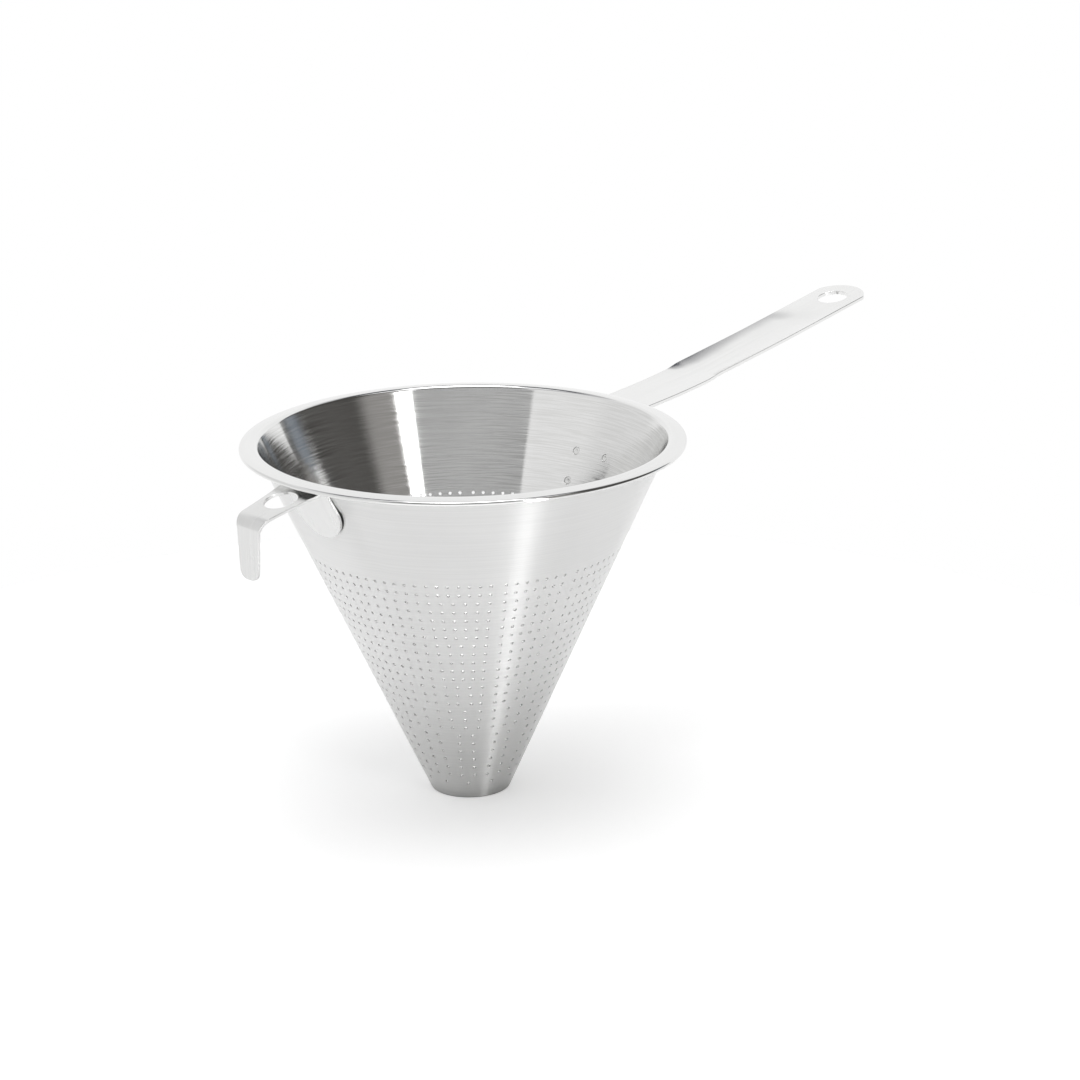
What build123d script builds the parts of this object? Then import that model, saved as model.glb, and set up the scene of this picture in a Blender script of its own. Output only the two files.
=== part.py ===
from build123d import *
from math import asin, atan2, cos, degrees, hypot, radians, sin, tan
import os

# A chinois strainer that stands on its small flat base. Z is the bowl's axis, with zero on the
# standing plane. X points along the handle, and the hook is on the other side.

# Bowl: one sheet, spun to a cone with a flat base and an out-turned lip. The cone runs from the
# base to the lip's bend. Reaches of the straps count from the rim's radius: an inset inwards and
# an overhang outwards. A drop counts down from the rim's height.
sheet = 1.0
base_radius = 16.2
base_bend = 1.2
rim_radius = 90.0
rim_height = 149.3
lip_bend = 1.0
lip_radius = 22.73
lip_fall = 12.0
lip_roll = 0.2
lip_skirt = 0.5

# Perforation: punched in sectors, row by row up the cone
hole_radius = 0.65
top_row_drop = 42.5
bottom_row_height = 8.0
sector_margin = 2.75
pair_spacing = 5.5
row_group_counts = [(2, 7), (5, 6), (5, 5), (1, 4), (2, "pairs"), (3, 3), (6, 2), (1, 1)]
sector_count = 13
front_sector_angles = [171.6, -162.2, -135.4, -107.3, -78.7]

# Handle: one strap, with a tab on the wall, a flat root and a dished grip
handle_sheet = 1.5
handle_width = 25.4
handle_bend = 2.5
handle_tab_length = 39.5
handle_tab_corner = 6.0
handle_lip_clearance = 1.8
handle_shelf_inset = 2.0
handle_root_rise = 5.7
handle_grip_rise = 10.7
handle_knee_overhang = 36.0
handle_flare = 20.0
handle_fade = 16.0
handle_dish_depth = 1.6
hanging_hole_overhang = 135.9
hanging_hole_radius = 6.7
handle_end_radius = 14.1

# Hook: one strap that rests on the edge of a pan, with a tab on the wall, a plate and a tongue
hook_sheet = 1.2
hook_bend = 2.0
hook_tip_bend = 4.6
hook_lip_clearance = 1.9
hook_fall = 13.6
hook_overhang = 22.6
hook_tab_length = 24.5
hook_tab_width = 26.0
hook_root_width = 22.6
hook_root_inset = 4.0
hook_waist_width = 19.2
hook_waist_overhang = 5.5
hook_plate_width = 16.5
hook_tongue_width = 12.6
hook_tip_width = 10.7
hook_tip_corner = 3.8
hook_tip_drop = 33.6
hook_hole_overhang = 5.6
hook_hole_radius = 6.7

# Spot welds: fused discs that run through the wall and into each tab
weld_gap = 0.1
weld_clearance = 0.02
weld_radius = 1.6
weld_bite = 0.9
weld_dimple = 0.15
handle_weld_offset = 8.5
handle_weld_drops = [22.7, 34.6]
hook_weld_offset = 6.0
hook_weld_drops = [15.3]

overrun = 2.0

hole_rim_points = 8
weld_rim_points = 16

ON_END = (Align.CENTER, Align.CENTER, Align.MIN)

fall = radians(lip_fall)

# The centre of the lip's bend, and the slope of the wall that touches it
bend_x = rim_radius - sheet - lip_roll * (1 - sin(fall)) - lip_radius * sin(fall)
bend_z = rim_height - sheet - lip_bend
bend_distance = hypot(bend_x - base_radius, bend_z)
half_angle = atan2(bend_x - base_radius, bend_z) - asin(lip_bend / bend_distance)
wall_rise = 90 - degrees(half_angle)
rise = radians(wall_rise)
up_wall = (sin(half_angle), cos(half_angle))


def wall_point(azimuth, distance, depth=0):
    """A point of the cone: its distance up the wall, and its depth under the outside."""
    r = corner_x + distance * sin(half_angle) - depth * cos(half_angle)
    z = corner_z + distance * cos(half_angle) + depth * sin(half_angle)
    return Vector(r * cos(radians(azimuth)), r * sin(radians(azimuth)), z)


def wall_radius(distance):
    return corner_x + distance * sin(half_angle)


def wall_distance(z):
    """How far up the wall a height on its outside lies."""
    return (z - corner_z) / cos(half_angle)


# The wall's straight stretch, and the underside of the lip's edge
corner_x = base_radius - base_bend * tan(rise / 2) + base_bend * sin(rise)
corner_z = base_bend * (1 - cos(rise))
wall_length = wall_distance(rim_height - sheet - lip_bend * (1 - cos(rise)))
lip_bottom_z = rim_height - sheet - lip_radius * (1 - cos(fall)) - lip_roll * cos(fall) - lip_skirt


def sector_angles():
    """The middle of each punched sector: the front ones, then the rest spread evenly."""
    first, last = front_sector_angles[0], front_sector_angles[-1]
    gaps = sector_count - len(front_sector_angles) + 1
    step = ((first - last) % 360) / gaps
    return front_sector_angles + [last + step * i for i in range(1, gaps)]


def row_offsets(kind, half_span):
    """Distances of one row's holes from the middle of their sector."""
    pair = pair_spacing / 2
    if kind == "pairs":
        return [-half_span, -pair, pair, half_span]
    if kind == 2:
        return [-pair, pair]
    if kind == 1:
        return [0]
    return [half_span * (2 * i / (kind - 1) - 1) for i in range(kind)]


def row_pitch():
    """The distance up the wall from one row of holes to the next."""
    span = wall_distance(rim_height - top_row_drop) - wall_distance(bottom_row_height)
    return span / (sum(count for count, _ in row_group_counts) - 1)


def hole_rows():
    """Each row of holes from the top: its distance up the wall, and its holes' azimuths."""
    rows = []
    distance = wall_distance(rim_height - top_row_drop)
    for count, kind in row_group_counts:
        for _ in range(count):
            r = wall_radius(distance)
            half_span = radians(180 / sector_count) * r - sector_margin
            turns = [degrees(offset / r) for offset in row_offsets(kind, half_span)]
            rows.append((distance, [middle + turn for middle in sector_angles() for turn in turns]))
            distance -= row_pitch()
    return rows


def weld_spots(side, offset, drops):
    """Azimuth and distance up the wall of one tab's spot welds; side is the tab's azimuth."""
    spots = []
    for distance in [wall_distance(rim_height - drop) for drop in drops]:
        turn = degrees(offset / wall_radius(distance))
        spots += [(side - turn, distance), (side + turn, distance)]
    return spots


def weld_discs(spots):
    """Discs from just under the wall's inside to part of the way through the tab."""
    disc = Cylinder(weld_radius, sheet - weld_dimple + weld_gap + weld_bite, align=ON_END)
    discs = []
    for azimuth, distance in spots:
        start = wall_point(azimuth, distance, sheet - weld_dimple)
        way = wall_point(azimuth, distance) - wall_point(azimuth, distance, sheet)
        discs.append(Plane(start, z_dir=way) * disc)
    return discs


def rim(azimuth, distance, radius, count, depth):
    """The closed edge, on one skin of the wall, of a round hole squarely through it."""
    points = []
    for i in range(count):
        turn = radians(360 * i / count)
        along = distance + radius * cos(turn)
        r = wall_radius(along) - depth * cos(half_angle)
        aside = asin(radius * sin(turn) / r)
        along += r * (1 - cos(aside)) * sin(half_angle)
        points.append(wall_point(azimuth + degrees(aside), along, depth))
    return Spline(points, periodic=True)


def band_borders(rows):
    """Distances up the wall that part it into bands, with one row of holes in each."""
    between = [distance - row_pitch() / 2 for distance, _ in rows[:-1]]
    return [0] + between[::-1] + [wall_length]


def skin_edges(depth, borders):
    """One skin of the sheet's section, as the pieces below the wall, its bands and the lip's."""
    base = Line((0, depth), (base_radius - base_bend * tan(rise / 2), depth))
    corner = JernArc(base @ 1, (1, 0), base_bend - depth, wall_rise)
    stops = [Vector(wall_point(0, stop, depth).X, wall_point(0, stop, depth).Z) for stop in borders]
    bands = [Line(low, high) for low, high in zip(stops, stops[1:])]
    bend = JernArc(stops[-1], up_wall, lip_bend + depth, -wall_rise)
    lip = JernArc(bend @ 1, (1, 0), lip_radius + depth, -lip_fall)
    roll = JernArc(lip @ 1, (cos(fall), -sin(fall)), lip_roll + depth, lip_fall - 90)
    skirt = Line(roll @ 1, roll @ 1 - Vector(0, lip_skirt))
    return [base, corner], bands, [bend, lip, roll, skirt]


def spun(edge):
    """The face that an edge of the section makes round the axis, with its seam between two sectors."""
    seam = (front_sector_angles[1] + front_sector_angles[2]) / 2
    return Face.revolve((Rot(0, 0, seam) * (Plane.XZ * edge)).edge(), 360, Axis.Z)


def bowl(weld_places):
    """The spun sheet, made skin by skin, with a wall for each hole and each weld between them."""
    rows = hole_rows()
    borders = band_borders(rows)
    holes = []
    for distance, turns in rows[::-1]:
        holes.append([(turn, distance, hole_radius, hole_rim_points) for turn in turns])
    weld_hole = weld_radius + weld_clearance
    holes[-1] += [(turn, distance, weld_hole, weld_rim_points) for turn, distance in weld_places]
    faces = []
    skirt_ends = []
    rims = []
    for depth in (0, sheet):
        foot, bands, lip = skin_edges(depth, borders)
        faces += [spun(edge) for edge in foot + lip]
        skirt_ends.append(lip[-1] @ 1)
        skin_rims = [[rim(*hole, depth) for hole in row] for row in holes]
        faces += [
            spun(band).make_holes([Wire([edge]) for edge in row]) for band, row in zip(bands, skin_rims)
        ]
        rims.append([edge for row in skin_rims for edge in row])
    faces.append(spun(Line(*skirt_ends)))
    faces += [Face.make_surface_from_curves(outer, inner) for outer, inner in zip(*rims)]
    return Solid(Shell(faces))


def strap_corner(clearance, slope):
    """Where a strap's wall face and its upper face would meet, with the height over the rim."""
    foot = base_radius + weld_gap / cos(half_angle)
    rim_z = lip_bottom_z - clearance
    z = (rim_z + slope * (foot - rim_radius)) / (1 - slope * tan(half_angle))
    return Vector(foot + z * tan(half_angle), z)


def strap_sector(points, radii, thickness):
    """Sheet bent along the points, turned about the bowl's axis so that its tab fits the cone."""
    face_line = FilletPolyline(*points, radius=radii)
    profile = make_face(offset(face_line, thickness, side=Side.RIGHT, closed=True))
    return Rot(0, 0, -45) * revolve(Plane.XZ * profile, Axis.Z, 90)


def tab_plane(corner):
    """A plane on the tab's wall face: X across it, Y up the wall."""
    out = Vector(cos(half_angle), 0, -sin(half_angle))
    return Plane(origin=(corner.X, 0, corner.Y), x_dir=(0, 1, 0), z_dir=out)


def flat_section(plane):
    """The handle's flat section, with its upper face on the plane's X axis."""
    return plane * Rectangle(handle_width, handle_sheet, align=(Align.CENTER, Align.MAX))


def dished_section(plane):
    """The handle's section, bowed so that its middle lies below its edges."""
    half = handle_width / 2
    depth = handle_dish_depth
    turn = asin(half / ((half ** 2 + depth ** 2) / (2 * depth)))
    lip = Vector(sin(turn), -cos(turn)) * handle_sheet
    upper = ThreePointArc((-half, 0), (0, -depth), (half, 0))
    right = Line(upper @ 1, (upper @ 1) + lip)
    left = Line((upper @ 0) + Vector(-lip.X, lip.Y), upper @ 0)
    lower = ThreePointArc(right @ 1, (0, -depth - handle_sheet), left @ 0)
    return plane * make_face([upper, right, lower, left])


def across(origin, way):
    """A plane square to a strap that runs along way, with X across the strap."""
    return Plane(origin=origin, x_dir=(0, 1, 0), z_dir=way)


def handle(weld_places):
    corner = strap_corner(handle_lip_clearance, 0)
    shelf_reach = rim_radius - handle_shelf_inset
    knee_reach = rim_radius + handle_knee_overhang
    hole_reach = rim_radius + hanging_hole_overhang
    shelf_end = Vector(shelf_reach, 0, corner.Y)
    root_way = Vector(cos(radians(handle_root_rise)), 0, sin(radians(handle_root_rise)))
    grip_way = Vector(cos(radians(handle_grip_rise)), 0, sin(radians(handle_grip_rise)))
    knee = shelf_end + root_way * ((knee_reach - shelf_reach) / root_way.X)

    # The tab bends over to a level shelf, trimmed by the tab's outline carried out past the shelf
    tab = Vector(*up_wall) * handle_tab_length
    points = [corner - tab, corner, Vector(shelf_reach + overrun, corner.Y)]
    shelf = strap_sector(points, handle_bend + handle_sheet, handle_sheet)
    reach = handle_tab_length + shelf_reach - corner.X + overrun
    outline = Rectangle(handle_width, reach, align=(Align.CENTER, Align.MIN))
    outline = fillet(outline.vertices().group_by(Axis.Y)[0], handle_tab_corner)
    outline = tab_plane(corner) * Pos(0, -handle_tab_length) * outline
    shelf &= extrude(outline, reach, both=True)
    shelf_cut = across(shelf_end, Vector(1, 0, 0))
    shelf = split(shelf, shelf_cut, keep=Keep.BOTTOM)
    root_end = across(knee - root_way * handle_flare, root_way)
    root = loft([flat_section(shelf_cut), flat_section(root_end)])

    # The grip is dished from past the knee until it fades into a flat end round the hanging hole
    hole_distance = (hole_reach - knee.X) / grip_way.X
    flat_distance = hole_distance - handle_end_radius
    fade_distance = flat_distance - handle_fade
    dish_start = across(knee + grip_way * handle_flare, grip_way)
    dish_end = across(knee + grip_way * fade_distance, grip_way)
    flat_start = across(knee + grip_way * flat_distance, grip_way)
    flare = loft([flat_section(root_end), dished_section(dish_start)])
    grip = extrude(dished_section(dish_start), fade_distance - handle_flare)
    fade = loft([dished_section(dish_end), flat_section(flat_start)])

    # The end, drawn on its upper face
    upper_face = Plane(
        origin=knee + grip_way * hole_distance, x_dir=grip_way, z_dir=grip_way.cross(Vector(0, 1, 0))
    )
    shank = Rectangle(handle_end_radius, handle_width, align=(Align.MAX, Align.CENTER))
    band = Rectangle(2 * handle_end_radius, handle_width)
    end = shank + (Circle(handle_end_radius) & band) - Circle(hanging_hole_radius)
    end = extrude(upper_face * end, -handle_sheet)
    return shelf + root + flare + grip + fade + end - weld_discs(weld_places)


def hook(weld_places):
    reach = rim_radius + hook_overhang
    root_reach = rim_radius - hook_root_inset
    waist_reach = rim_radius + hook_waist_overhang
    hole_reach = rim_radius + hook_hole_overhang
    tip_z = rim_height - hook_tip_drop
    slope = -tan(radians(hook_fall))
    corner = strap_corner(hook_lip_clearance, slope)
    tab = Vector(*up_wall) * hook_tab_length
    elbow = Vector(reach, corner.Y + slope * (reach - corner.X))
    points = [corner - tab, corner, elbow, Vector(reach, tip_z)]
    strap = strap_sector(points, [hook_bend + hook_sheet, hook_tip_bend + hook_sheet], hook_sheet)

    # The tab: a round-ended tongue on the wall that narrows towards the plate
    half = hook_tab_width / 2
    root_half = hook_root_width / 2
    centre = half - hook_tab_length
    tab_edge = [Line((half, centre), (root_half, 0)), Line((root_half, 0), (root_half, reach))]
    top = Line((root_half, reach), (-root_half, reach))
    left = [Line((-root_half, reach), (-root_half, 0)), Line((-root_half, 0), (-half, centre))]
    foot = ThreePointArc((-half, centre), (0, -hook_tab_length), (half, centre))
    tab_face = tab_plane(corner) * make_face(tab_edge + [top] + left + [foot])
    tab_trim = extrude(tab_face, reach, both=True)
    inside = Box(reach, reach, 2 * rim_height, align=(Align.MAX, Align.CENTER, Align.CENTER))
    inside = Pos(root_reach, 0, 0) * inside

    # The plate, seen from above, draws in to the second bend
    plate_half = hook_plate_width / 2
    bend_run = (hook_tip_bend + hook_sheet) * (1 - sin(radians(hook_fall)))
    plate_end = reach - bend_run
    waist = (waist_reach, hook_waist_width / 2)
    edge = ThreePointArc((root_reach, root_half), waist, (plate_end, plate_half))
    other = ThreePointArc((root_reach, -root_half), (waist[0], -waist[1]), (plate_end, -plate_half))
    ends = [Line(edge @ 0, other @ 0), Line(edge @ 1, other @ 1)]
    plate_trim = extrude(make_face([edge, other] + ends), 2 * rim_height)

    # The tongue, seen along the strap, tapers to a tip with round corners
    plate_end_z = elbow.Y - slope * bend_run
    bend_end_z = plate_end_z - (hook_tip_bend + hook_sheet) * cos(radians(hook_fall))
    tongue_half = hook_tongue_width / 2
    tip_half = hook_tip_width / 2
    right = [(plate_half, rim_height), (plate_half, plate_end_z), (tongue_half, bend_end_z)]
    right.append((tip_half, tip_z))
    outline = Polyline(*right, *[(-x, z) for x, z in reversed(right)], close=True)
    tongue = make_face(outline)
    tongue = fillet(tongue.vertices().group_by(Axis.Y)[0], hook_tip_corner)
    side_on = Plane(origin=(plate_end, 0, 0), x_dir=(0, 1, 0), z_dir=(1, 0, 0))
    tongue_trim = side_on * extrude(tongue, bend_run + overrun)

    body = (strap & tab_trim & inside) + (strap & plate_trim) + (strap & tongue_trim)
    hole_z = corner.Y + slope * (hole_reach - corner.X)
    tilt = radians(hook_fall)
    hole_plane = Plane(origin=(hole_reach, 0, hole_z), z_dir=(sin(tilt), 0, cos(tilt)))
    body -= hole_plane * Cylinder(hook_hole_radius, 2 * (hook_sheet + overrun))
    return Rot(0, 0, 180) * body - weld_discs(weld_places)


def main():
    handle_welds = weld_spots(0, handle_weld_offset, handle_weld_drops)
    hook_welds = weld_spots(180, hook_weld_offset, hook_weld_drops)
    nodes = {
        "bowl": bowl(handle_welds + hook_welds),
        "handle": handle(handle_welds),
        "hook": hook(hook_welds),
        "handle_spot_welds": Compound(children=weld_discs(handle_welds)),
        "hook_spot_welds": Compound(children=weld_discs(hook_welds)),
    }
    os.makedirs("parts", exist_ok=True)
    for name, shape in nodes.items():
        export_step(shape, f"parts/{name}.step")


if __name__ == "__main__":
    main()
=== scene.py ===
from math import asin, atan2, ceil, cos, hypot, pi, radians, sin, sqrt, tan

import bpy
import numpy as np
from mathutils import Matrix, Vector
from mathutils.geometry import delaunay_2d_cdt


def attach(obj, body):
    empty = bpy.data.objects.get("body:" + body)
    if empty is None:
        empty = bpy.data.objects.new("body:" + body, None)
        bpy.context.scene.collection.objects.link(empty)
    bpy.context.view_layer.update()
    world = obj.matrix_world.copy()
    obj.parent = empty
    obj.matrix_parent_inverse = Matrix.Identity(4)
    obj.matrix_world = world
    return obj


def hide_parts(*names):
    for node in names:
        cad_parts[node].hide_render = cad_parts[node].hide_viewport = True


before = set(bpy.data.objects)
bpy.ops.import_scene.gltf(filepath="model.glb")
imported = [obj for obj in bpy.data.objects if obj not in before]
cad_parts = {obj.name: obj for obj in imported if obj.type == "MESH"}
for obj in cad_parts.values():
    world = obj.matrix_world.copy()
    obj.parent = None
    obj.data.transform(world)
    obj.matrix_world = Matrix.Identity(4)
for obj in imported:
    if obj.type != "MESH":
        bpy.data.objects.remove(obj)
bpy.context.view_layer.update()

# Sizes are in millimetres, as they are on the real strainer, and meshes are scaled to metres.
# Angles are in degrees, and functions work with them in radians.
MM = 0.001

# Bowl
sheet = 1.0
base_radius = 16.2
base_bend = 1.2
rim_radius = 90.0
rim_height = 149.3
lip_bend = 1.0
lip_radius = 22.73
lip_fall = 12.0
lip_roll = 0.2
lip_skirt = 0.5
lip_edge = 0.3

# Perforation
hole_radius = 0.65
hole_edge = 0.12
top_row_drop = 42.5
bottom_row_height = 8.0
sector_margin = 2.75
pair_spacing = 5.5
sector_count = 13
front_sector_angles = [171.6, -162.2, -135.4, -107.3, -78.7]

# From the top down: how many rows are alike, and how many holes a sector has in each. Pairs are
# two holes in the middle and one at either side.
row_groups = [(2, 7), (5, 6), (5, 5), (1, 4), (2, "pairs"), (3, 3), (6, 2), (1, 1)]

# Handle
handle_sheet = 1.5
handle_width = 25.4
handle_bend = 2.5
handle_tab_length = 39.5
handle_tab_corner = 6.0
handle_lip_clearance = 1.8
handle_shelf_inset = 2.0
handle_shelf_bend = 16.0
handle_root_rise = 5.7
handle_grip_rise = 10.7
handle_knee_overhang = 36.0
hanging_hole_overhang = 135.9
hanging_hole_radius = 6.7
handle_end_radius = 14.1
handle_edge = 0.2

# The grip's dish grows over twice the flare at the knee and runs out over the fade before the end.
# The crease lifts the strap's edges from a start past the beginning of the dish.
handle_flare = 20.0
handle_fade = 16.0
handle_dish_depth = 1.6
handle_crease_height = 0.7
handle_crease_start = 26.0
handle_crease_growth = 7.0
handle_crease_length = 55.0

# Hook
hook_sheet = 1.2
hook_bend = 2.0
hook_tip_bend = 4.6
hook_lip_clearance = 1.9
hook_fall = 13.6
hook_overhang = 22.6
hook_tab_length = 24.5
hook_tab_width = 26.0
hook_root_width = 22.6
hook_root_inset = 4.0
hook_waist_width = 19.2
hook_waist_overhang = 5.5
hook_plate_width = 16.5
hook_tongue_width = 12.6
hook_tip_width = 10.7
hook_tip_corner = 3.8
hook_tip_drop = 33.6
hook_hole_overhang = 5.6
hook_hole_radius = 6.7
hook_edge = 0.2

# Spot welds
weld_gap = 0.1
weld_clearance = 0.02
weld_radius = 1.6
weld_dimple = 0.15
weld_bite = 0.9
weld_crown = 0.012
handle_weld_offset = 8.5
handle_weld_drops = [22.7, 34.6]
hook_weld_offset = 6.0
hook_weld_drops = [15.3]

# A weld's face, from its middle out: share of the radius, depth below the crown's top as a share
# of the crown, and how far the normal tilts out, in radians
weld_face = [
    (0, 1, 0),
    (0.39, 0.75, -0.15),
    (0.78, 0, 0),
    (0.94, 0.5, 0.25),
    (0.985, 1, 0.45),
    (1, 1.6, pi / 2),
]

# Fineness of the meshes: the longest steps along straights and bends, and numbers of points
line_step = 3.0
arc_step = 6.0
segments = 312
hole_points = 12
weld_points = 32
hanging_hole_points = 48
tab_corner_points = 9
tab_end_points = 25
handle_end_points = 33
hook_tip_corner_points = 7
strap_columns = 9
hole_edge_steps = 1
strap_edge_steps = 3
lip_edge_steps = 4

# How far the points inside a strap keep from its edges, and its sides from its rounded end
inner_gap = 1.0
edge_gap = 0.6

# Points nearer than the first become one, and slopes are measured over the second
merge_distance = 1e-4
slope_distance = 1e-3
triangle_tolerance = 1e-7

# The bowl's mesh starts between two sectors of holes
seam = radians((front_sector_angles[1] + front_sector_angles[2]) / 2)

# The centre of the lip's bend, and the slope of the wall that touches it
fall = radians(lip_fall)
bend_x = rim_radius - sheet - lip_roll * (1 - sin(fall)) - lip_radius * sin(fall)
bend_z = rim_height - sheet - lip_bend
bend_distance = hypot(bend_x - base_radius, bend_z)
half_angle = atan2(bend_x - base_radius, bend_z) - asin(lip_bend / bend_distance)
rise = pi / 2 - half_angle


def unit(vectors):
    """The same directions, each of length one."""
    return vectors / np.linalg.norm(vectors, axis=1, keepdims=True)


class Path:
    """A line of straights and arcs in the plane of radius and height, followed by its length."""

    def __init__(self, start, heading):
        self.runs = []
        self.stops = [0.0]
        self.point = start
        self.heading = heading

    def line(self, length):
        x, z = self.point
        self.runs.append((self.point, self.heading, 0.0))
        self.stops.append(self.stops[-1] + length)
        self.point = (x + length * cos(self.heading), z + length * sin(self.heading))
        return self

    def line_to_x(self, x):
        return self.line((x - self.point[0]) / cos(self.heading))

    def arc(self, radius, turn):
        """Turns left by a positive angle in radians, and right by a negative one."""
        x, z = self.point
        bend = turn / abs(turn) / radius
        self.runs.append((self.point, self.heading, bend))
        self.stops.append(self.stops[-1] + radius * abs(turn))
        end = self.heading + turn
        x += (sin(end) - sin(self.heading)) / bend
        z -= (cos(end) - cos(self.heading)) / bend
        self.point = (x, z)
        self.heading = end
        return self

    def at(self, s):
        """Radius, height and heading at a length along the path."""
        index = min(max(np.searchsorted(self.stops, s, side="right") - 1, 0), len(self.runs) - 1)
        (x, z), heading, bend = self.runs[index]
        t = s - self.stops[index]
        if bend == 0:
            return x + t * cos(heading), z + t * sin(heading), heading
        end = heading + t * bend
        return x + (sin(end) - sin(heading)) / bend, z - (cos(end) - cos(heading)) / bend, end

    def stations(self):
        """Lengths along the path, close together in its bends."""
        found = [0.0]
        for (_, _, bend), low, high in zip(self.runs, self.stops, self.stops[1:]):
            step = line_step if bend == 0 else min(radians(arc_step) / abs(bend), line_step)
            count = max(1, ceil((high - low) / step))
            found += [low + (high - low) * (i + 1) / count for i in range(count)]
        return found


class Shell:
    """Vertices with their own normals, and faces with the number of their finish."""

    def __init__(self):
        self.points = []
        self.normals = []
        self.faces = []
        self.finishes = []
        self.finish = 0
        self.count = 0

    def add(self, points, normals):
        """Adds vertices and gives back the number of each."""
        points = np.asarray(points, float).reshape(-1, 3)
        self.points.append(points)
        self.normals.append(unit(np.asarray(normals, float).reshape(-1, 3)))
        self.count += len(points)
        return np.arange(self.count - len(points), self.count)

    def face(self, *corners):
        self.faces.append(corners)
        self.finishes.append(self.finish)

    def strip(self, low, high):
        """Quads between two rings of vertices."""
        for i in range(len(low)):
            j = (i + 1) % len(low)
            self.face(low[i], low[j], high[j], high[i])

    def mesh(self, name, *materials):
        """Merges what coincides and makes the object."""
        points = np.concatenate(self.points)
        normals = np.concatenate(self.normals)
        keys = np.round(points / merge_distance).astype(np.int64)
        _, first, where = np.unique(keys, axis=0, return_index=True, return_inverse=True)
        where = where.reshape(-1)
        faces = []
        finishes = []
        for face, finish in zip(self.faces, self.finishes):
            ring = [int(where[i]) for i in face]
            ring = [v for i, v in enumerate(ring) if v != ring[i - 1]]
            if len(set(ring)) == len(ring) > 2:
                faces.append(ring)
                finishes.append(finish)
        mesh = bpy.data.meshes.new(name)
        mesh.from_pydata((points[first] * MM).tolist(), [], faces)
        mesh.polygons.foreach_set("use_smooth", [True] * len(mesh.polygons))
        for material in materials:
            mesh.materials.append(material)
        mesh.polygons.foreach_set("material_index", finishes)
        mesh.normals_split_custom_set_from_vertices(normals[first].tolist())
        piece = bpy.data.objects.new(name, mesh)
        bpy.context.scene.collection.objects.link(piece)
        return piece


def triangles(loops, inner):
    """Triangles of a flat pattern between its outline, the first loop, and its holes."""
    points = [p for loop in loops for p in loop] + list(inner)
    edges = []
    owner = []
    start = 0
    for number, loop in enumerate(loops):
        edges += [(start + i, start + (i + 1) % len(loop)) for i in range(len(loop))]
        owner += [number] * len(loop)
        start += len(loop)
    owner += [-1] * len(inner)
    flat = [Vector(p) for p in points]
    _, _, faces, sources, _, _ = delaunay_2d_cdt(flat, edges, [], 1, triangle_tolerance)
    found = []
    for face in faces:
        ids = [sources[i][0] for i in face]
        owners = {owner[i] for i in ids}
        # A face with all its corners on the loop of one hole lies in the hole
        if len(owners) > 1 or owners == {0} or owners == {-1}:
            found.append(ids)
    return found


def edge_profile(thickness, radius, steps):
    """Rings round a sheet's edge: how far in from it, how deep, and the normal's turn."""
    rings = []
    for side in (0, 1):
        for i in range(steps + 1):
            turn = (side + i / steps) * pi / 2
            depth = radius * (1 - cos(turn)) if side == 0 else thickness - radius * (1 + cos(turn))
            rings.append((radius * (1 - sin(turn)), depth, turn))
    return rings


# Bowl: the developed wall, with a ring of vertices round each hole

corner_x = base_radius - base_bend * tan(rise / 2) + base_bend * sin(rise)
corner_z = base_bend * (1 - cos(rise))


def wall_radius(distance):
    """The cone's outer radius at a distance up the wall from the base's corner."""
    return corner_x + distance * sin(half_angle)


def wall_distance(z):
    """How far up the wall a height lies."""
    return (z - corner_z) / cos(half_angle)


wall_length = wall_distance(rim_height - sheet - lip_bend * (1 - cos(rise)))
lip_bottom = rim_height - sheet - lip_radius * (1 - cos(fall)) - lip_roll * cos(fall) - lip_skirt


def wall_normal(azimuth):
    """The direction out of the wall."""
    flat = cos(half_angle)
    drop = azimuth * 0 - sin(half_angle)
    return np.stack([flat * np.cos(azimuth), flat * np.sin(azimuth), drop], axis=-1)


def wall_axes(azimuth):
    """The directions out of the wall, up it and round it, at one azimuth."""
    up = np.array([sin(half_angle) * cos(azimuth), sin(half_angle) * sin(azimuth), cos(half_angle)])
    return wall_normal(np.array(azimuth)), up, np.array([-sin(azimuth), cos(azimuth), 0])


def wall_point(azimuth, distance, depth):
    """Points of the cone, from azimuths, distances up the wall and a depth in the sheet."""
    r = corner_x + distance * sin(half_angle) - depth * cos(half_angle)
    z = corner_z + distance * cos(half_angle) + depth * sin(half_angle)
    return np.stack([r * np.cos(azimuth), r * np.sin(azimuth), z], axis=-1)


def developed(azimuth, distance):
    """The same points in the flat blank that the cone is rolled from."""
    reach = distance + corner_x / sin(half_angle)
    turn = azimuth * sin(half_angle)
    return np.stack([reach * np.cos(turn), reach * np.sin(turn)], -1)


def sector_angles():
    """The middles of the sectors of holes: those in front, and the rest evenly spaced."""
    first, last = front_sector_angles[0], front_sector_angles[-1]
    gaps = sector_count - len(front_sector_angles) + 1
    step = ((first - last) % 360) / gaps
    return front_sector_angles + [last + step * i for i in range(1, gaps)]


def row_offsets(kind, half_span):
    """Where a row's holes lie from the middle of its sector."""
    pair = pair_spacing / 2
    if kind == "pairs":
        return [-half_span, -pair, pair, half_span]
    if kind == 2:
        return [-pair, pair]
    if kind == 1:
        return [0]
    return [half_span * (2 * i / (kind - 1) - 1) for i in range(kind)]


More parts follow.
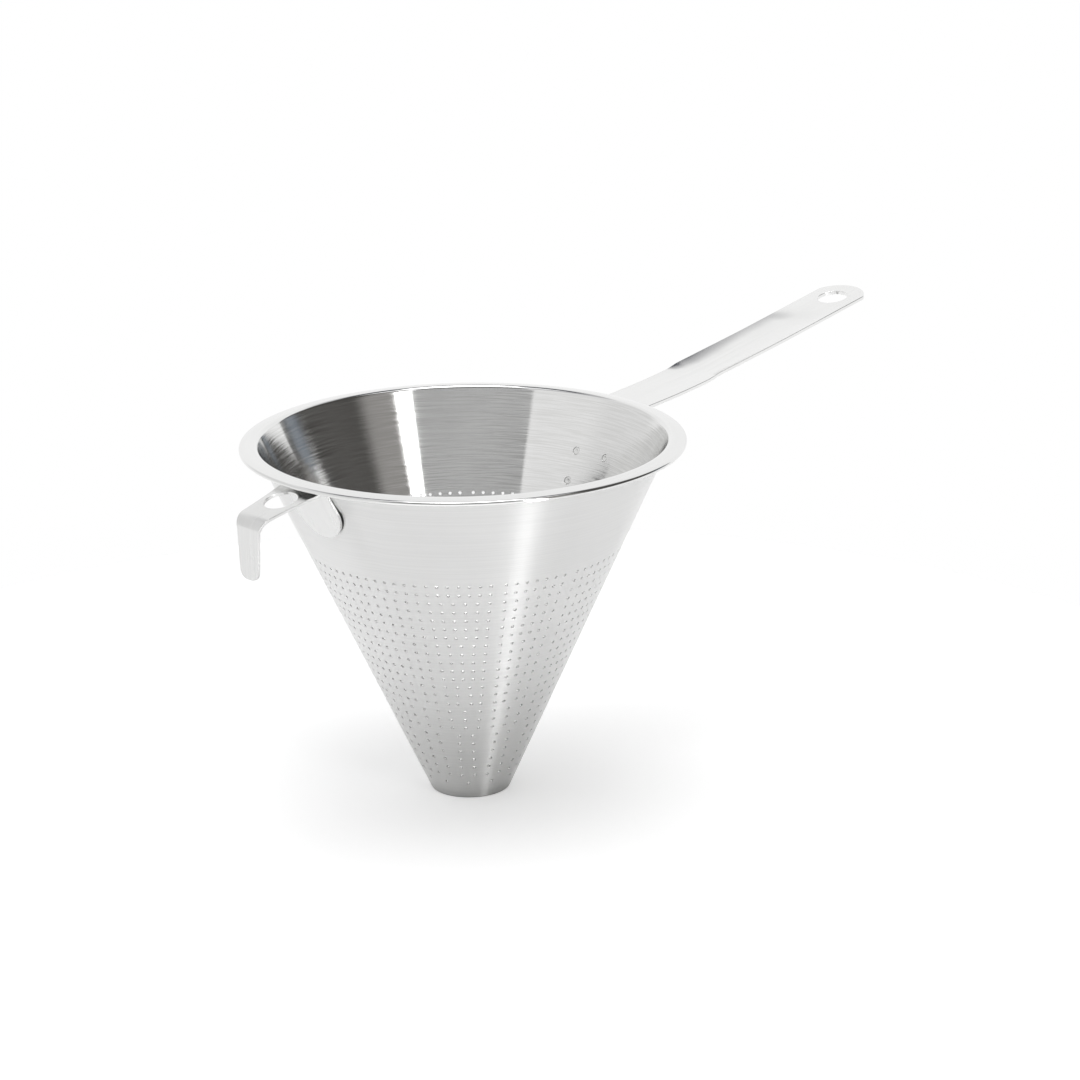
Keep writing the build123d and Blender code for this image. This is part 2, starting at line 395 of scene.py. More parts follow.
def wall_holes():
    """Azimuth, distance up the wall, radius and number of points of each small and weld hole."""
    found = []
    distance = wall_distance(rim_height - top_row_drop)
    row_total = sum(rows for rows, _ in row_groups)
    row_pitch = (distance - wall_distance(bottom_row_height)) / (row_total - 1)
    for rows, kind in row_groups:
        for _ in range(rows):
            r = wall_radius(distance)
            half_span = radians(180 / sector_count) * r - sector_margin
            for middle in sector_angles():
                for offset in row_offsets(kind, half_span):
                    found.append((radians(middle) + offset / r, distance, hole_radius, hole_points))
            distance -= row_pitch
    for azimuth, distance in weld_spots():
        found.append((azimuth, distance, weld_radius + weld_clearance, weld_points))
    return found


def weld_spots(*sides):
    """Azimuth and distance up the wall of the spot welds, of both straps or of the sides named."""
    straps = {0: (handle_weld_offset, handle_weld_drops), 180: (hook_weld_offset, hook_weld_drops)}
    spots = []
    for side in sides or straps:
        offset, drops = straps[side]
        for distance in [wall_distance(rim_height - drop) for drop in drops]:
            turn = offset / wall_radius(distance)
            spots += [(radians(side) - turn, distance), (radians(side) + turn, distance)]
    return spots


def hole_ring(azimuth, distance, radius, count, depth):
    """Azimuths and distances of a ring round a hole that goes squarely through the wall."""
    turn = np.arange(count) * 2 * pi / count
    along = distance + radius * np.cos(turn)
    r = wall_radius(along) - depth * cos(half_angle)
    aside = np.arcsin(radius * np.sin(turn) / r)
    along = along + r * (1 - np.cos(aside)) * sin(half_angle)
    return azimuth + aside, along, turn


def bowl_wall(shell):
    """Both skins of the wall and the walls of its holes."""
    around = seam + np.arange(segments + 1) * 2 * pi / segments
    border = (
        np.concatenate([around, around[::-1]]),
        np.concatenate([around * 0, around * 0 + wall_length]),
    )
    profile = edge_profile(sheet, hole_edge, hole_edge_steps)
    loops = [[tuple(p) for p in developed(*border)]]
    rings = []
    for azimuth, distance, radius, count in wall_holes():
        azimuth = seam + (azimuth - seam) % (2 * pi)
        at = []
        for inset, depth, _ in profile:
            at.append(hole_ring(azimuth, distance, radius + inset, count, depth))
        rings.append((azimuth, at))
        loops.append([tuple(p) for p in developed(*at[0][:2])])
    faces = triangles(loops, [])
    for outer in (True, False):
        depth, sign, level = (0, 1, 0) if outer else (sheet, -1, -1)
        ids = []
        for turns, along in [border] + [at[level][:2] for _, at in rings]:
            ids.append(shell.add(wall_point(turns, along, depth), sign * wall_normal(turns)))
        ids = np.concatenate(ids)
        shell.finish = 0 if outer else 1
        for a, b, c in faces:
            shell.face(*((ids[c], ids[b], ids[a]) if outer else (ids[a], ids[b], ids[c])))
    shell.finish = 0
    for azimuth, at in rings:
        way, up, side = wall_axes(azimuth)
        before = None
        for (turns, along, turn), (_, depth, tilt) in zip(at, profile):
            inward = -(np.cos(turn)[:, None] * up + np.sin(turn)[:, None] * side)
            normal = cos(tilt) * way + sin(tilt) * inward
            ring = shell.add(wall_point(turns, along, depth), normal)
            if before is not None:
                shell.strip(ring, before)
            before = ring


def spin(shell, profile):
    """Turns a line of (radius, height, normal's heading) round the axis."""
    around = seam + np.arange(segments) * 2 * pi / segments

    def turned(r, z):
        return np.stack([r * np.cos(around), r * np.sin(around), around * 0 + z], -1)

    before = None
    for r, z, way in profile:
        ring = shell.add(turned(r, z), turned(cos(way), sin(way)))
        if before is not None:
            shell.strip(before, ring)
        before = ring


def skin(path, sign):
    """A path's points, with the normal on its right, or on its left if sign is negative."""
    found = []
    for s in path.stations():
        r, z, heading = path.at(s)
        found.append((r, z, heading - sign * pi / 2))
    return found


def bowl_foot(depth):
    """The base and its bend, at a depth in the sheet."""
    path = Path((0, depth), 0).line(base_radius - base_bend * tan(rise / 2))
    return path.arc(base_bend - depth, rise)


def bowl_lip(depth):
    """The lip from the wall's top to its cut edge, at a depth in the sheet."""
    r = wall_radius(wall_length) - depth * cos(half_angle)
    z = corner_z + wall_length * cos(half_angle) + depth * sin(half_angle)
    path = Path((r, z), rise).arc(lip_bend + depth, -rise).arc(lip_radius + depth, -fall)
    return path.arc(lip_roll + depth, fall - pi / 2).line(lip_skirt - lip_edge)


def make_bowl(*materials):
    """The whole sheet, whose inside has its second finish and whose lip has its third."""
    shell = Shell()
    bowl_wall(shell)
    spin(shell, skin(bowl_foot(0), 1))
    shell.finish = 1
    spin(shell, skin(bowl_foot(sheet), -1)[::-1])
    shell.finish = 2
    under = skin(bowl_lip(0), 1)
    over = skin(bowl_lip(sheet), -1)
    r, z, _ = under[-1]
    edge = []
    for inset, depth, turn in edge_profile(sheet, lip_edge, lip_edge_steps):
        edge.append((r + depth, z - lip_edge + inset, pi + turn))
    spin(shell, under[:-1] + edge + over[-2::-1])
    return shell.mesh("bowl_shell", *materials)


# Straps: a flat pattern laid along a path

def smooth_step(x):
    """Eases from nought to one while x does the same."""
    x = min(max(x, 0.0), 1.0)
    return x * x * (3 - 2 * x)


def loop_normals(loop):
    """The direction out of a loop that runs anticlockwise, at each of its points."""
    points = np.array(loop)
    along = np.roll(points, -1, 0) - np.roll(points, 1, 0)
    return unit(np.stack([along[:, 1], -along[:, 0]], -1))


def hanging_hole(s, radius):
    """A strap's hole, as a loop that runs clockwise so that its normals point into the hole."""
    turns = [-2 * pi * i / hanging_hole_points for i in range(hanging_hole_points)]
    return [(s + radius * cos(t), radius * sin(t)) for t in turns]


def strap(name, loops, inner, place, thickness, edge, material):
    """A sheet cut to a pattern of loops, with soft edges, bent by place(s, y, depth)."""

    def lay(flat, depth):
        return np.array([place(s, y, depth) for s, y in flat])

    def upward(flat, depth):
        flat = np.asarray(flat)
        nudge = np.array([slope_distance, 0])
        along = lay(flat + nudge, depth) - lay(flat - nudge, depth)
        across = lay(flat + nudge[::-1], depth) - lay(flat - nudge[::-1], depth)
        return unit(np.cross(along, across))

    shell = Shell()
    profile = edge_profile(thickness, edge, strap_edge_steps)
    outs = [loop_normals(loop) for loop in loops]
    insets = [np.array(loop) - out * edge for loop, out in zip(loops, outs)]
    faces = triangles([[tuple(p) for p in loop] for loop in insets], inner)
    flat = np.concatenate(insets + ([np.array(inner)] if inner else []))
    for depth, sign in ((0, 1), (thickness, -1)):
        ids = shell.add(lay(flat, depth), sign * upward(flat, depth))
        for a, b, c in faces:
            shell.face(*((ids[a], ids[b], ids[c]) if sign > 0 else (ids[c], ids[b], ids[a])))
    for loop, out in zip(loops, outs):
        before = None
        for inset, depth, turn in profile:
            ring = np.array(loop) - out * inset
            up = upward(ring, depth)
            side = lay(ring + out * slope_distance, depth) - lay(ring, depth)
            # The sides stay square to the way through the sheet, also where it is dished
            through = unit(lay(ring, depth + thickness) - lay(ring, depth))
            side = unit(side - through * np.sum(side * through, axis=1, keepdims=True))
            ids = shell.add(lay(ring, depth), unit(cos(turn) * up + sin(turn) * side))
            if before is not None:
                shell.strip(ids, before)
            before = ids
    return shell.mesh(name, material)


def inner_grid(path, half_width, hole_s, hole_radius):
    """Points inside a strap, clear of its edges and its hole."""
    found = []
    for s in path.stations()[1:-1]:
        half = half_width(s) - inner_gap
        for i in range(strap_columns):
            y = half * (2 * i / (strap_columns - 1) - 1)
            if half > inner_gap and hypot(s - hole_s, y) > hole_radius + inner_gap:
                found.append((s, y))
    return found


def strap_path(corner_clearance, slope, tab_length):
    """The start of a strap's path, at the foot of its tab on the wall."""
    foot = base_radius + weld_gap / cos(half_angle)
    z = lip_bottom - corner_clearance + slope * (foot - rim_radius)
    z /= 1 - slope * tan(half_angle)
    corner = (foot + z * tan(half_angle), z)
    start = (corner[0] - tab_length * sin(half_angle), corner[1] - tab_length * cos(half_angle))
    return Path(start, rise)


def make_handle(material):
    """The long strap: tab, shelf under the lip, knee, dished grip and flat rounded end."""
    path = strap_path(handle_lip_clearance, 0, handle_tab_length)
    root_rise = radians(handle_root_rise)
    grip_rise = radians(handle_grip_rise)
    outer = handle_bend + handle_sheet
    path.line(handle_tab_length - outer * tan(rise / 2)).arc(outer, -rise)
    bend_end = path.stops[-1]
    shelf_reach = rim_radius - handle_shelf_inset
    knee_reach = rim_radius + handle_knee_overhang
    path.line_to_x(shelf_reach - handle_shelf_bend * tan(root_rise / 2))
    shelf_end = path.stops[-1]
    path.arc(handle_shelf_bend, root_rise)
    path.line_to_x(knee_reach - handle_flare * cos(root_rise))
    dish_start = path.stops[-1]
    path.arc(handle_flare / tan((grip_rise - root_rise) / 2), grip_rise - root_rise)
    dish_full = path.stops[-1]
    crease_start = dish_start + handle_crease_start
    hole_distance = (hanging_hole_overhang - handle_knee_overhang) / cos(grip_rise)
    hole_s = dish_full + hole_distance - handle_flare
    dish_gone = hole_s - handle_end_radius
    dish_fade = dish_gone - handle_fade
    path.line(hole_s + handle_end_radius - dish_full)
    half = handle_width / 2

    def place(s, y, depth):
        r, z, heading = path.at(s)
        dish = smooth_step((s - dish_start) / (dish_full - dish_start))
        dish *= 1 - smooth_step((s - dish_fade) / (dish_gone - dish_fade))
        crease = smooth_step((s - crease_start) / handle_crease_growth)
        crease *= 1 - smooth_step((s - crease_start) / handle_crease_length)
        depth = depth + dish * handle_dish_depth * (1 - (y / half) ** 2)
        depth = depth - crease * handle_crease_height * (y / half) ** 4
        r, z = r + depth * sin(heading), z - depth * cos(heading)
        # The tab lies round the cone, and the strap flattens out by the end of the shelf
        curl = 1 - smooth_step((s - bend_end) / (shelf_end - bend_end))
        return r - (r - sqrt(r * r - y * y)) * curl, y, z

    end_turn = asin(half / handle_end_radius)
    corner_turns = np.linspace(0, pi / 2, tab_corner_points)
    foot = [
        (handle_tab_corner * (1 - cos(t)), half - handle_tab_corner * (1 - sin(t))) for t in corner_turns
    ]
    tip = [
        (hole_s + handle_end_radius * cos(t), handle_end_radius * sin(t))
        for t in np.linspace(-end_turn, end_turn, handle_end_points)
    ]
    sides = [s for s in path.stations() if handle_tab_corner < s < tip[0][0] - edge_gap]
    right = [(s, -half) for s in sides]
    left = [(s, half) for s in sides[::-1]]
    outline = [(s, -y) for s, y in foot] + right + tip + left + foot[::-1]
    hole = hanging_hole(hole_s, hanging_hole_radius)
    grid = inner_grid(path, lambda s: half, hole_s, hanging_hole_radius)
    grid = [p for p in grid if inside_handle(p, hole_s, half)]
    return strap("handle_strap", [outline, hole], grid, place, handle_sheet, handle_edge, material)


def inside_handle(point, hole_s, half):
    """Whether a point keeps clear of the handle's rounded ends."""
    s, y = point
    if s < handle_tab_corner + inner_gap:
        across = abs(y) - (half - handle_tab_corner)
        along = handle_tab_corner - s
        return along < 0 or hypot(max(across, 0), along) < handle_tab_corner - inner_gap
    return s < hole_s or hypot(s - hole_s, y) < handle_end_radius - inner_gap


def make_hook(material):
    """The short strap: rounded tab, sloping plate and tongue that points down."""
    fall_angle = radians(hook_fall)
    reach = rim_radius + hook_overhang
    root_reach = rim_radius - hook_root_inset
    waist_reach = rim_radius + hook_waist_overhang
    hole_reach = rim_radius + hook_hole_overhang
    tip_z = rim_height - hook_tip_drop
    path = strap_path(hook_lip_clearance, -tan(fall_angle), hook_tab_length)
    outer = hook_bend + hook_sheet
    turn = rise + fall_angle
    path.line(hook_tab_length - outer * tan(turn / 2)).arc(outer, -turn)
    plate_start = path.stops[-1]
    tip_outer = hook_tip_bend + hook_sheet
    tip_turn = pi / 2 - fall_angle
    path.line_to_x(reach - tip_outer * (1 - sin(fall_angle)))
    plate_end, plate_end_z = path.point
    path.arc(tip_outer, -tip_turn)
    tongue_z = path.point[1]
    path.line(tongue_z - tip_z)
    end = path.stops[-1]
    half_tab = hook_tab_width / 2
    plate_edge = circle_through(
        (root_reach, hook_root_width / 2),
        (waist_reach, hook_waist_width / 2),
        (plate_end, hook_plate_width / 2),
    )

    def half_width(s):
        r, z, heading = path.at(s)
        if s < half_tab:
            return sqrt(max(half_tab ** 2 - (half_tab - s) ** 2, 0))
        if r < root_reach:
            share = min((s - half_tab) / (hook_tab_length - half_tab), 1)
            return half_tab + (hook_root_width / 2 - half_tab) * share
        if r < plate_end:
            (cx, cy), radius = plate_edge
            return cy - sqrt(radius ** 2 - (r - cx) ** 2)
        if z > tongue_z:
            share = (plate_end_z - z) / (plate_end_z - tongue_z)
            return (hook_plate_width + (hook_tongue_width - hook_plate_width) * share) / 2
        share = (tongue_z - z) / (tongue_z - tip_z)
        return (hook_tongue_width + (hook_tip_width - hook_tongue_width) * share) / 2

    def place(s, y, depth):
        r, z, heading = path.at(s)
        r, z = r + depth * sin(heading), z - depth * cos(heading)
        return -sqrt(r * r - y * y), -y, z

    foot_turns = np.linspace(-pi / 2, pi / 2, tab_end_points)
    foot = [(half_tab * (1 - cos(t)), half_tab * sin(t)) for t in foot_turns]
    tip_half = hook_tip_width / 2
    tip = []
    for t in np.linspace(-pi / 2, 0, hook_tip_corner_points):
        tip.append((end - hook_tip_corner * (1 - cos(t)), -tip_half + hook_tip_corner * (1 + sin(t))))
    tip += [(s, -y) for s, y in tip[::-1]]
    sides = [s for s in path.stations() if half_tab < s < end - hook_tip_corner]
    right = [(s, -half_width(s)) for s in sides]
    left = [(s, half_width(s)) for s in sides[::-1]]
    outline = right + tip + left + foot[::-1]
    hole_s = plate_start + (hole_reach - path.at(plate_start)[0]) / cos(fall_angle)
    hole = hanging_hole(hole_s, hook_hole_radius)
    grid = inner_grid(path, half_width, hole_s, hook_hole_radius)
    grid = [(s, y) for s, y in grid if s < end - hook_tip_corner]
    return strap("hook_strap", [outline, hole], grid, place, hook_sheet, hook_edge, material)


def circle_through(a, b, c):
    """Centre and radius of the circle through three points."""
    a, b, c = np.array(a), np.array(b), np.array(c)
    centre = np.linalg.solve(2 * np.array([b - a, c - a]), np.array([b @ b - a @ a, c @ c - a @ a]))
    return centre, hypot(*(a - centre))


def make_welds(name, side, material):
    """Pressed discs: a shallow crown with a sunk rim, in the wall's weld holes."""
    shell = Shell()
    bottom = -(weld_gap + weld_bite)
    top = sheet - weld_dimple
    profile = [(weld_radius * share, top - weld_crown * depth, tilt) for share, depth, tilt in weld_face]
    profile += [(weld_radius, bottom, pi / 2), (0, bottom, pi)]
    turns = np.arange(weld_points) * 2 * pi / weld_points
    for azimuth, distance in weld_spots(side):
        outward, up, aside = wall_axes(azimuth)
        centre = wall_point(np.array(azimuth), np.array(distance), 0)
        before = None
        for r, depth, tilt in profile:
            spoke = np.cos(turns)[:, None] * up + np.sin(turns)[:, None] * aside
            points = centre - outward * depth + spoke * r
            ring = shell.add(points, -outward * cos(tilt) + spoke * sin(tilt))
            if before is not None:
                shell.strip(ring, before)
            before = ring
    return shell.mesh(name, material)


# Node graphs

class Graph:
    """Adds nodes to a material's or the world's tree."""

    def __init__(self, tree):
        self.tree = tree

    def node(self, kind, **settings):
        made = self.tree.nodes.new(kind)
        for name, value in settings.items():
            setattr(made, name, value)
        return made

    def feed(self, socket, value):
        """Sets a socket to a value, or links it to the socket that the value is."""
        if isinstance(value, bpy.types.NodeSocket):
            self.tree.links.new(value, socket)
        else:
            socket.default_value = value

    def math(self, operation, *values):
        made = self.node("ShaderNodeMath", operation=operation)
        for socket, value in zip(made.inputs, values):
            self.feed(socket, value)
        return made.outputs[0]

    def ramp(self, value, low, high, to_low=0.0, to_high=1.0):
        """Eases from one value to another while the input goes from low to high."""
        made = self.node("ShaderNodeMapRange", interpolation_type="SMOOTHSTEP")
        names = ("Value", "From Min", "From Max", "To Min", "To Max")
        for name, item in zip(names, (value, low, high, to_low, to_high)):
            self.feed(made.inputs[name], item)
        return made.outputs["Result"]

    def mix(self, share, first, second, **settings):
        """Mixes two colours, whose sockets are the seventh and the eighth."""
        made = self.node("ShaderNodeMix", data_type="RGBA", **settings)
        for place, value in (("Factor", share), (6, first), (7, second)):
            self.feed(made.inputs[place], value)
        return made.outputs[2]

    def distance(self, x, y):
        """How far from the axis a place is."""
        squares = [self.math("MULTIPLY", side, side) for side in (x, y)]
        return self.math("SQRT", self.math("ADD", *squares))

    def parts(self, vector):
        """The three coordinates of a vector."""
        made = self.node("ShaderNodeSeparateXYZ")
        self.feed(made.inputs[0], vector)
        return made.outputs[0], made.outputs[1], made.outputs[2]

    def vector(self, x, y, z):
        made = self.node("ShaderNodeCombineXYZ")
        for socket, value in zip(made.inputs, (x, y, z)):
            self.feed(socket, value)
        return made.outputs[0]

    def noise(self, vector, detail, roughness):
        made = self.node("ShaderNodeTexNoise")
        settings = {"Vector": vector, "Scale": 1.0, "Detail": detail, "Roughness": roughness}
        for name, value in settings.items():
            self.feed(made.inputs[name], value)
        return made.outputs["Fac"]


# Materials

white = (1, 1, 1, 1)

# The noise's low and high values, between which the colour and the gloss change
colour_span = (0.3, 0.7)
gloss_span = (0.35, 0.65)

# How often streaks and smudges change, round the bowl and up it, or along a strap and across it,
# how many finer levels their noise has, and how strong each is against the one before
bowl_grain_falloff = 0.5
bowl_smudge = (1.6, 25)
strap_grain = (12, 900)
strap_grain_detail = 5
strap_grain_falloff = 0.65
strap_smudge = (60, 110)
weld_grain = (1500, 1500)
weld_smudge = (300, 300)
weld_smudge_detail = 2
smudge_detail = 3
smudge_falloff = 0.55

strap_relief = 0.0006
strap_anisotropy = 0.3
brushed_turn = 0.25

# Below the first height the bowl's colour darkens towards its foot as painted shade, for the shadowed
# floor that it mirrors there; below the last it is worn rougher
foot_shade_height = 75.0
foot_shade_colour = (0.74, 0.74, 0.735, 1)
worn_rough_height = 110.0


def around_bowl(graph, turns, rows):
    """Places for streaks that run round the bowl: how often they change round it, and up it."""
    x, y, z = graph.parts(graph.node("ShaderNodeTexCoord").outputs["Object"])
    r = graph.distance(x, y)
    across = graph.math("MULTIPLY", graph.math("DIVIDE", x, r), turns)
    along = graph.math("MULTIPLY", graph.math("DIVIDE", y, r), turns)
    rise_part = graph.math("MULTIPLY", z, cos(half_angle))
    reach_part = graph.math("MULTIPLY", r, sin(half_angle))
    up = graph.math("ADD", rise_part, reach_part)
    return graph.vector(across, along, graph.math("MULTIPLY", up, rows))


def along_strap(graph, length, width):
    """Places for scratches that run along a strap."""
    x, y, z = graph.parts(graph.node("ShaderNodeTexCoord").outputs["Object"])
    across = graph.math("MULTIPLY", y, width)
    return graph.vector(graph.math("MULTIPLY", x, length), across, graph.math("MULTIPLY", z, length))


def steel(name, dark, light, grain, smudge, rough, relief, anisotropy):
    """Steel whose colour, gloss and height follow a grain and slow smudges."""
    material = bpy.data.materials.new(name)
    material.use_nodes = True
    graph = Graph(material.node_tree)
    shader = material.node_tree.nodes["Principled BSDF"]
    fine = grain(graph)
    slow = smudge(graph)
    shader.inputs["Metallic"].default_value = 1.0
    shader.inputs["Anisotropic"].default_value = anisotropy
    colour = graph.mix(graph.ramp(fine, *colour_span), (*dark, 1), (*light, 1))
    graph.feed(shader.inputs["Base Color"], colour)
    blend = graph.math("MULTIPLY", graph.math("ADD", fine, slow), 0.5)
    gloss = graph.ramp(blend, *gloss_span, *rough)
    graph.feed(shader.inputs["Roughness"], gloss)
    bump = graph.node("ShaderNodeBump")
    bump.inputs["Distance"].default_value = relief * MM
    graph.feed(bump.inputs["Height"], fine)
    graph.feed(shader.inputs["Normal"], bump.outputs[0])
    return material, graph, shader, colour, gloss


def bowl_steel(name, dark, light, turns, rows, detail, rough, worn_rough, relief, anisotropy):
    """Steel brushed round the bowl, with painted shade darkening it towards its foot, and worn rougher
    there.
    """

    def grain(graph):
        return graph.noise(around_bowl(graph, turns, rows), detail, bowl_grain_falloff)

    def smudge(graph):
        return graph.noise(around_bowl(graph, *bowl_smudge), smudge_detail, smudge_falloff)

    made = steel(name, dark, light, grain, smudge, rough, relief, anisotropy)
    material, graph, shader, colour, gloss = made
    _, _, z = graph.parts(graph.node("ShaderNodeTexCoord").outputs["Object"])
    # Painted shade: the colour darkens towards the foot, where the bowl mirrors the floor's shadow
    foot_shade_and_wear = graph.mix(graph.ramp(z, 0.0, foot_shade_height * MM), foot_shade_colour, white)
    graph.feed(shader.inputs["Base Color"], graph.mix(1.0, colour, foot_shade_and_wear, blend_type="MULTIPLY"))
    foot_shade_and_wear = graph.ramp(z, 0.0, worn_rough_height * MM, worn_rough, 0.0)
    graph.feed(shader.inputs["Roughness"], graph.math("ADD", gloss, foot_shade_and_wear))
    shader.inputs["Anisotropic Rotation"].default_value = brushed_turn
    tangent = graph.node("ShaderNodeTangent", direction_type="RADIAL", axis="Z")
    graph.feed(shader.inputs["Tangent"], tangent.outputs[0])
    return material


def strap_steel(name, dark, light, rough):
    """Steel with scratches along the strap."""

    def grain(graph):
        places = along_strap(graph, *strap_grain)
        return graph.noise(places, strap_grain_detail, strap_grain_falloff)

    def smudge(graph):
        return graph.noise(along_strap(graph, *strap_smudge), smudge_detail, smudge_falloff)

    material, *_ = steel(name, dark, light, grain, smudge, rough, strap_relief, strap_anisotropy)
    return material


def weld_steel(name, dark, light, rough, relief):
    """Steel with a fine grain that is alike in every direction."""

    def grain(graph):
        return graph.noise(along_strap(graph, *weld_grain), smudge_detail, smudge_falloff)

    def smudge(graph):
        return graph.noise(along_strap(graph, *weld_smudge), weld_smudge_detail, smudge_falloff)

    material, *_ = steel(name, dark, light, grain, smudge, rough, relief, anisotropy=0.0)
    return material


# Camera, floor and light

camera_lens = 108.2
camera_sensor = 36.0
camera_azimuth = -134.0
camera_elevation = 17.338
camera_roll = -0.9097
camera_distance = 1317.65
camera_target = (21.81, -21.06, 105.46)
camera_near = 10.0

floor_radius = 360.0
floor_sides = 96
floor_colour = 0.79

# The paper's faint glow, as the camera sees it and as metal mirrors it, and how far from the axis
# it has its full strength. Nearer the axis the glow is weaker, a painted shadow round the foot.
floor_lift = 0.41
floor_shadow_share = 0.9
floor_shadow_radius = 70.0
mirrored_floor_lift = 0.32
mirrored_shadow_radius = 24.0

# The studio's patches of light and dark, each laid over those before it: the azimuth of the middle,
# half the width, the fade at the sides, the lowest and highest elevation, their fade, the colour
studio = [
    # Two grey walls on the left of the picture, and a bright low band behind the camera
    (120, 32, 10, 0, 40, 6, (0.8, 0.8, 0.8)),
    (160, 24, 10, 5, 45, 6, (0.87, 0.87, 0.87)),
    (-134, 42, 6, -30, 2, 3, (1.25, 1.25, 1.25)),
    # The dim ceiling, and a dark part of it opposite the camera
    (0, 200, 1, 45, 90, 5, (0.55, 0.55, 0.56)),
    (46, 70, 10, 55, 73, 3, (0.04, 0.045, 0.06)),
    # A dark wall behind the camera, with a grey window and a darker bar across that
    (-139.5, 37.5, 0.7, 15, 64, 3, (0.05, 0.05, 0.05)),
    (-139.5, 37.5, 0.7, 21, 40, 3, (0.66, 0.66, 0.66)),
    (-139.5, 37.5, 0.7, 25, 32, 2, (0.33, 0.33, 0.33)),
    # The unlit side of the room on the right, with a faint band, a bluish light and a grey end
    (-48, 42, 0.7, 4, 70, 3, (0.075, 0.072, 0.068)),
    (-40, 30, 8, 21, 24, 1.5, (0.15, 0.145, 0.14)),
    (-16, 5, 5, 5, 19, 4, (0.24, 0.27, 0.31)),
    (-80, 12, 6, 12, 50, 6, (0.33, 0.32, 0.31)),
    # The strip light, a bright high band on the camera's side, and the light overhead
    (-96, 4.6, 0.3, -20, 38, 2, (5.6, 5.6, 5.6)),
    (-134, 110, 5, 60, 80, 2, (1.1, 1.1, 1.1)),
    (0, 200, 1, 74, 120, 2, (4.0, 4.0, 4.0)),
]


def make_camera():
    """The camera that was fitted to the photo."""
    data = bpy.data.cameras.new("camera")
    data.lens = camera_lens
    data.sensor_width = camera_sensor
    data.clip_start = camera_near * MM
    camera = bpy.data.objects.new("camera", data)
    bpy.context.scene.collection.objects.link(camera)
    turn, lift, roll = radians(camera_azimuth), radians(camera_elevation), radians(camera_roll)
    back = Vector((cos(lift) * cos(turn), cos(lift) * sin(turn), sin(lift)))
    right = Vector((0, 0, 1)).cross(back).normalized()
    up = back.cross(right)
    right, up = right * cos(roll) + up * sin(roll), up * cos(roll) - right * sin(roll)
    matrix = Matrix((right, up, back)).transposed().to_4x4()
    matrix.translation = (Vector(camera_target) + back * camera_distance) * MM
    camera.matrix_world = matrix
    bpy.context.scene.camera = camera


def make_floor():
    """A round paper floor, with a faint glow to the camera and in mirrors so that it is white, and a
    painted shadow where the glow fades near the foot.
    """
    turns = [2 * pi * i / floor_sides for i in range(floor_sides)]
    ring = [(floor_radius * MM * cos(t), floor_radius * MM * sin(t), 0) for t in turns]
    mesh = bpy.data.meshes.new("floor")
    mesh.from_pydata(ring, [], [list(range(floor_sides))])
    floor = bpy.data.objects.new("floor", mesh)
    bpy.context.scene.collection.objects.link(floor)
    material = bpy.data.materials.new("floor_paper")
    material.use_nodes = True
    graph = Graph(material.node_tree)
    shader = material.node_tree.nodes["Principled BSDF"]
    shader.inputs["Base Color"].default_value = (floor_colour, floor_colour, floor_colour, 1)
    shader.inputs["Roughness"].default_value = 1.0
    shader.inputs["Specular IOR Level"].default_value = 0.0
    shader.inputs["Emission Color"].default_value = white
    path = graph.node("ShaderNodeLightPath")
    x, y, _ = graph.parts(graph.node("ShaderNodeTexCoord").outputs["Object"])
    r = graph.distance(x, y)
    foot = base_radius * MM
    # Painted shadow: the glow is weaker near the foot, for the camera and in mirrors
    direct = graph.ramp(r, foot, floor_shadow_radius * MM, floor_lift * floor_shadow_share, floor_lift)
    direct = graph.math("MULTIPLY", path.outputs["Is Camera Ray"], direct)
    mirrored = graph.ramp(r, foot, mirrored_shadow_radius * MM, 0.0, mirrored_floor_lift)
    mirrored = graph.math("MULTIPLY", path.outputs["Is Glossy Ray"], mirrored)
    graph.feed(shader.inputs["Emission Strength"], graph.math("ADD", direct, mirrored))
    mesh.materials.append(material)


def studio_patch(graph, before, azimuth, half_width, side_fade, low, high, end_fade, colour):
    """Lays one patch over the light before it, by angles in degrees."""
    direction = graph.node("ShaderNodeTexCoord").outputs["Generated"]
    turned = graph.node("ShaderNodeVectorRotate", rotation_type="Z_AXIS")
    graph.feed(turned.inputs["Vector"], direction)
    turned.inputs["Angle"].default_value = -radians(azimuth)
    x, y, z = graph.parts(turned.outputs[0])
    aside = graph.math("ABSOLUTE", graph.math("ARCTAN2", y, x))
    lift = graph.math("ARCSINE", z)

    def fade(angle, middle, reach, *ends):
        return graph.ramp(angle, radians(middle - reach), radians(middle + reach), *ends)

    sides = fade(aside, half_width, side_fade, 1.0, 0.0)
    bottom = fade(lift, low, end_fade)
    top = fade(lift, high, end_fade, 1.0, 0.0)
    mask = graph.math("MULTIPLY", graph.math("MULTIPLY", sides, bottom), top)
    return graph.mix(mask, before, (*colour, 1))


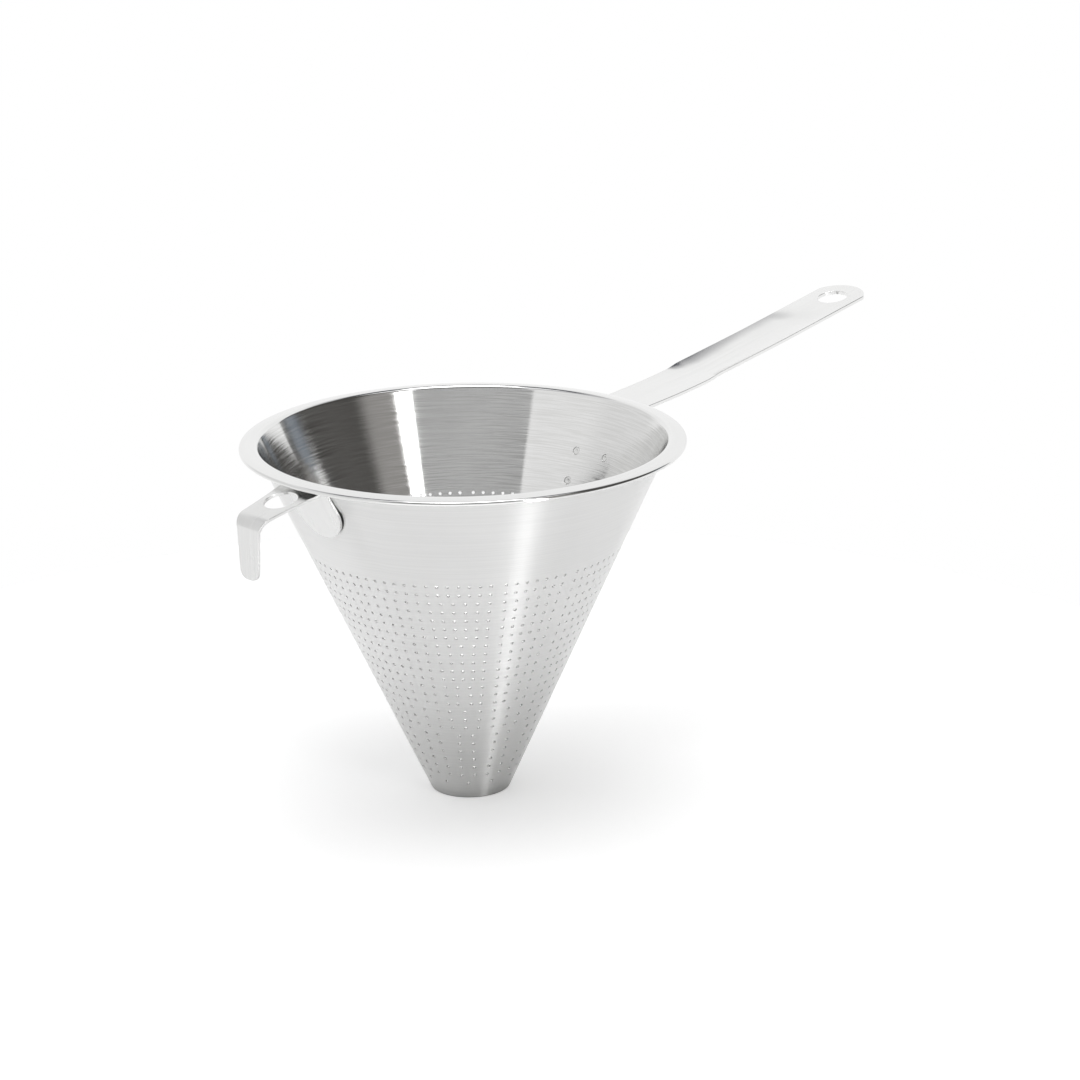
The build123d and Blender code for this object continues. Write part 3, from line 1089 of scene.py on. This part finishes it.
def make_world():
    """The pale studio with its patches. The camera itself sees plain white behind the strainer."""
    world = bpy.data.worlds.new("studio")
    bpy.context.scene.world = world
    world.use_nodes = True
    graph = Graph(world.node_tree)
    light = white
    for patch in studio:
        light = studio_patch(graph, light, *patch)
    path = graph.node("ShaderNodeLightPath")
    seen_light = graph.mix(path.outputs["Is Camera Ray"], light, white)
    graph.feed(world.node_tree.nodes["Background"].inputs["Color"], seen_light)


outside_finish = bowl_steel(
    "bowl_outside_steel", dark=(0.79, 0.79, 0.785), light=(0.83, 0.83, 0.825), turns=1.1, rows=2400,
    detail=2, rough=(0.31, 0.37), worn_rough=0.07, relief=0.005, anisotropy=0.96,
)
inside_finish = bowl_steel(
    "bowl_inside_steel", dark=(0.76, 0.76, 0.75), light=(0.86, 0.86, 0.855), turns=4.0, rows=1900,
    detail=1.5, rough=(0.08, 0.16), worn_rough=0.0, relief=0.03, anisotropy=1.0,
)
lip_finish = bowl_steel(
    "lip_steel", dark=(0.79, 0.79, 0.785), light=(0.82, 0.82, 0.815), turns=1.1, rows=900,
    detail=2, rough=(0.08, 0.14), worn_rough=0.0, relief=0.001, anisotropy=0.4,
)
handle_finish = strap_steel(
    "handle_steel", dark=(0.82, 0.82, 0.815), light=(0.86, 0.86, 0.855), rough=(0.1, 0.2)
)
# The hook's steel is made darker than the handle's, as painted shade for the darker light on it
hook_shaded_finish = strap_steel(
    "hook_steel", dark=(0.74, 0.74, 0.735), light=(0.79, 0.79, 0.785), rough=(0.18, 0.28)
)
weld_finish = weld_steel(
    "weld_steel", dark=(0.77, 0.77, 0.76), light=(0.82, 0.82, 0.81), rough=(0.25, 0.35), relief=0.01
)

pieces = [
    (make_bowl(outside_finish, inside_finish, lip_finish), "bowl", "bowl"),
    (make_handle(handle_finish), "handle", "handle"),
    (make_hook(hook_shaded_finish), "hook", "hook"),
    (make_welds("handle_weld_discs", 0, weld_finish), "handle_spot_welds", "welds"),
    (make_welds("hook_weld_discs", 180, weld_finish), "hook_spot_welds", "welds"),
]
for piece, node, slot in pieces:
    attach(piece, "root")
    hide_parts(node)

make_camera()
make_floor()
make_world()
bpy.context.scene.view_settings.view_transform = "Standard"
